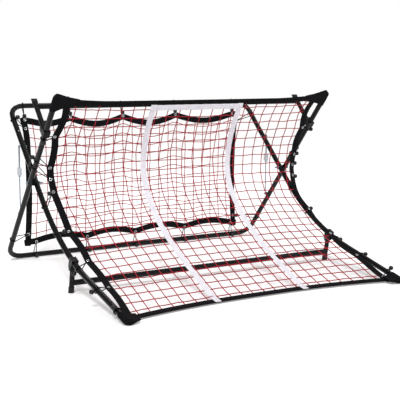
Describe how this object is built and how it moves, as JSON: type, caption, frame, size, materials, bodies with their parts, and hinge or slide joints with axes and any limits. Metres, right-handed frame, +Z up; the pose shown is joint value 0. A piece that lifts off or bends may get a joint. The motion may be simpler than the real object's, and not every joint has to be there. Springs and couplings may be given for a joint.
{
  "type": "two-net ball rebounder",
  "caption": "Folding sports rebounder: two crossed tube frames hold a curved front net and a flat rear net, with stays at the sides and fold-out stands.",
  "frame": {"origin": "on the ground, under the middle of the whole object's width and depth", "axes": "+X to the right seen from the front, -Y towards the player, +Z up"},
  "size_m": [1.4556, 1.3134, 0.8358],
  "materials": {
    "black_paint": "glossy black powder coat on steel tube",
    "black_plastic": "moulded black nylon",
    "grey_plastic": "light grey moulded plastic",
    "zinc_steel": "bright zinc-plated steel",
    "black_webbing": "woven black polypropylene webbing",
    "net_cord": "knotless crimson polyester net",
    "white_tape": "white woven target tape"
  },
  "bodies": {
    "outer_frame": {"outer_frame_base_bar": "black_paint", "outer_frame_left_arm": "black_paint", "outer_frame_right_arm": "black_paint", "outer_frame_left_plug": "black_plastic", "outer_frame_right_plug": "black_plastic", "pivot_left_bolt": "zinc_steel", "pivot_left_spacer": "black_plastic", "pivot_left_nut": "zinc_steel", "upper_stand_left_bracket": "black_paint", "upper_stand_left_bolt": "zinc_steel", "stay_left_lug": "black_paint", "stay_left_bolt": "zinc_steel", "net_top_left_pocket": "black_webbing", "pivot_right_bolt": "zinc_steel", "pivot_right_spacer": "black_plastic", "pivot_right_nut": "zinc_steel", "upper_stand_right_bracket": "black_paint", "upper_stand_right_bolt": "zinc_steel", "stay_right_lug": "black_paint", "stay_right_bolt": "zinc_steel", "net_top_right_pocket": "black_webbing", "front_net": "net_cord", "front_net_border": "black_webbing", "back_net": "net_cord", "back_net_border": "black_webbing", "target_tape_left": "white_tape", "target_tape_right": "white_tape", "target_tape_top": "white_tape"},
    "inner_frame": {"inner_frame_top_bar": "black_paint", "inner_frame_left_arm": "black_paint", "inner_frame_right_arm": "black_paint", "inner_frame_left_plug": "black_plastic", "inner_frame_right_plug": "black_plastic", "lower_stand_left_bracket": "black_paint", "lower_stand_left_bolt": "zinc_steel", "stay_left_stud": "zinc_steel", "net_bottom_left_pocket": "black_webbing", "lower_stand_right_bracket": "black_paint", "lower_stand_right_bolt": "zinc_steel", "stay_right_stud": "zinc_steel", "net_bottom_right_pocket": "black_webbing"},
    "lower_stand": {"lower_stand_crossbar": "black_paint", "lower_stand_left_leg": "black_paint", "lower_stand_left_foot": "black_plastic", "lower_stand_right_leg": "black_paint", "lower_stand_right_foot": "black_plastic"},
    "upper_stand": {"upper_stand_crossbar": "black_paint", "upper_stand_left_leg": "black_paint", "upper_stand_left_foot": "black_plastic", "upper_stand_right_leg": "black_paint", "upper_stand_right_foot": "black_plastic"},
    "left_stay": {"stay_left_rod": "zinc_steel", "stay_left_tube": "zinc_steel", "stay_left_clamp": "grey_plastic"},
    "right_stay": {"stay_right_rod": "zinc_steel", "stay_right_tube": "zinc_steel", "stay_right_clamp": "grey_plastic"}
  },
  "joints": [
    {"name": "frame_fold", "type": "hinge", "parent": "outer_frame", "child": "inner_frame", "pos_m": [0, 0.28693, 0.42218], "axis": [-1, 0, 0], "range_deg": [0, 80], "deforming": ["front_net", "front_net_border", "back_net", "back_net_border", "target_tape_left", "target_tape_right", "target_tape_top"]},
    {"name": "lower_stand_fold", "type": "hinge", "parent": "inner_frame", "child": "lower_stand", "pos_m": [0, -0.13189, 0.11319], "axis": [-1, 0, 0], "range_deg": [0, 80]},
    {"name": "upper_stand_fold", "type": "hinge", "parent": "outer_frame", "child": "upper_stand", "pos_m": [0, 0.10179, 0.68482], "axis": [1, 0, 0], "range_deg": [0, 80]},
    {"name": "left_stay_swing", "type": "hinge", "parent": "outer_frame", "child": "left_stay", "pos_m": [-0.7, 0.45069, 0.25813], "axis": [1, 0, 0], "range_deg": [0, 36]},
    {"name": "right_stay_swing", "type": "hinge", "parent": "outer_frame", "child": "right_stay", "pos_m": [0.7, 0.45069, 0.25813], "axis": [1, 0, 0], "range_deg": [0, 36]}
  ],
  "couplings": [
    {"joint": "left_stay_swing", "follows": "frame_fold", "ratio": 0.45},
    {"joint": "right_stay_swing", "follows": "frame_fold", "ratio": 0.45}
  ]
}
